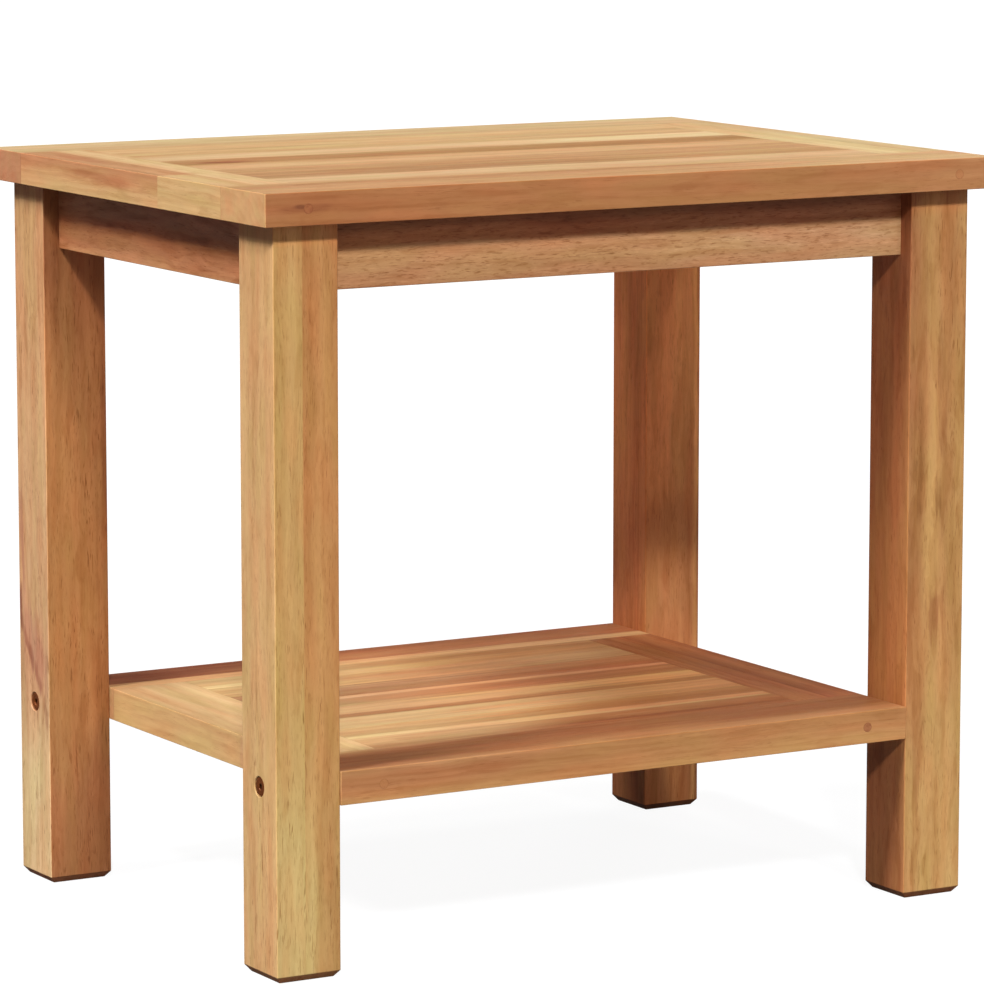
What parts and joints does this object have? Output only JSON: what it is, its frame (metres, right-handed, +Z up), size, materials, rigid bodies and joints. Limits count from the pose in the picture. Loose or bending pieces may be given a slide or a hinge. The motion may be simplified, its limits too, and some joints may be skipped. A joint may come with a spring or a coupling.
{
  "type": "coffee table with storage shelf",
  "caption": "Small rectangular wooden coffee table with a framed plank top on square legs, set-back aprons and a lower plank shelf for storage.",
  "frame": {"origin": "on the floor under the middle of the tabletop", "axes": "+X along the table's length, -Y to its front, +Z up"},
  "size_m": [0.6, 0.444, 0.548],
  "materials": {
    "tabletop_wood": "oiled, light satin",
    "shelf_wood": "oiled, light satin",
    "leg_wood": "oiled, light satin",
    "apron_wood": "oiled, light satin",
    "pin_wood": "oiled, light satin",
    "bronzed_steel": "bronze coated",
    "zinc_steel": "zinc plated"
  },
  "bodies": {
    "root": {"top_front_rail": "tabletop_wood", "top_back_rail": "tabletop_wood", "top_left_end_board": "tabletop_wood", "top_right_end_board": "tabletop_wood", "top_plank_1": "tabletop_wood", "top_plank_2": "tabletop_wood", "top_plank_3": "tabletop_wood", "top_plank_4": "tabletop_wood", "top_plank_5": "tabletop_wood", "top_plank_6": "tabletop_wood", "top_plank_7": "tabletop_wood", "top_plank_8": "tabletop_wood", "shelf_front_rail": "shelf_wood", "shelf_back_rail": "shelf_wood", "shelf_left_end_board": "shelf_wood", "shelf_right_end_board": "shelf_wood", "shelf_plank_1": "shelf_wood", "shelf_plank_2": "shelf_wood", "shelf_plank_3": "shelf_wood", "shelf_plank_4": "shelf_wood", "shelf_plank_5": "shelf_wood", "shelf_plank_6": "shelf_wood", "shelf_plank_7": "shelf_wood", "shelf_plank_8": "shelf_wood", "leg_front_left": "leg_wood", "leg_front_right": "leg_wood", "leg_back_left": "leg_wood", "leg_back_right": "leg_wood", "apron_front": "apron_wood", "apron_back": "apron_wood", "apron_left": "apron_wood", "apron_right": "apron_wood", "top_dowel_pins": "pin_wood", "shelf_dowel_pins": "pin_wood", "shelf_bolts": "bronzed_steel", "shelf_barrel_nuts": "zinc_steel", "corner_brackets": "zinc_steel", "hanger_bolts": "zinc_steel", "hanger_bolt_washers": "zinc_steel", "hanger_bolt_nuts": "zinc_steel", "bracket_screws": "zinc_steel", "top_fixing_screws": "zinc_steel"}
  },
  "joints": []
}
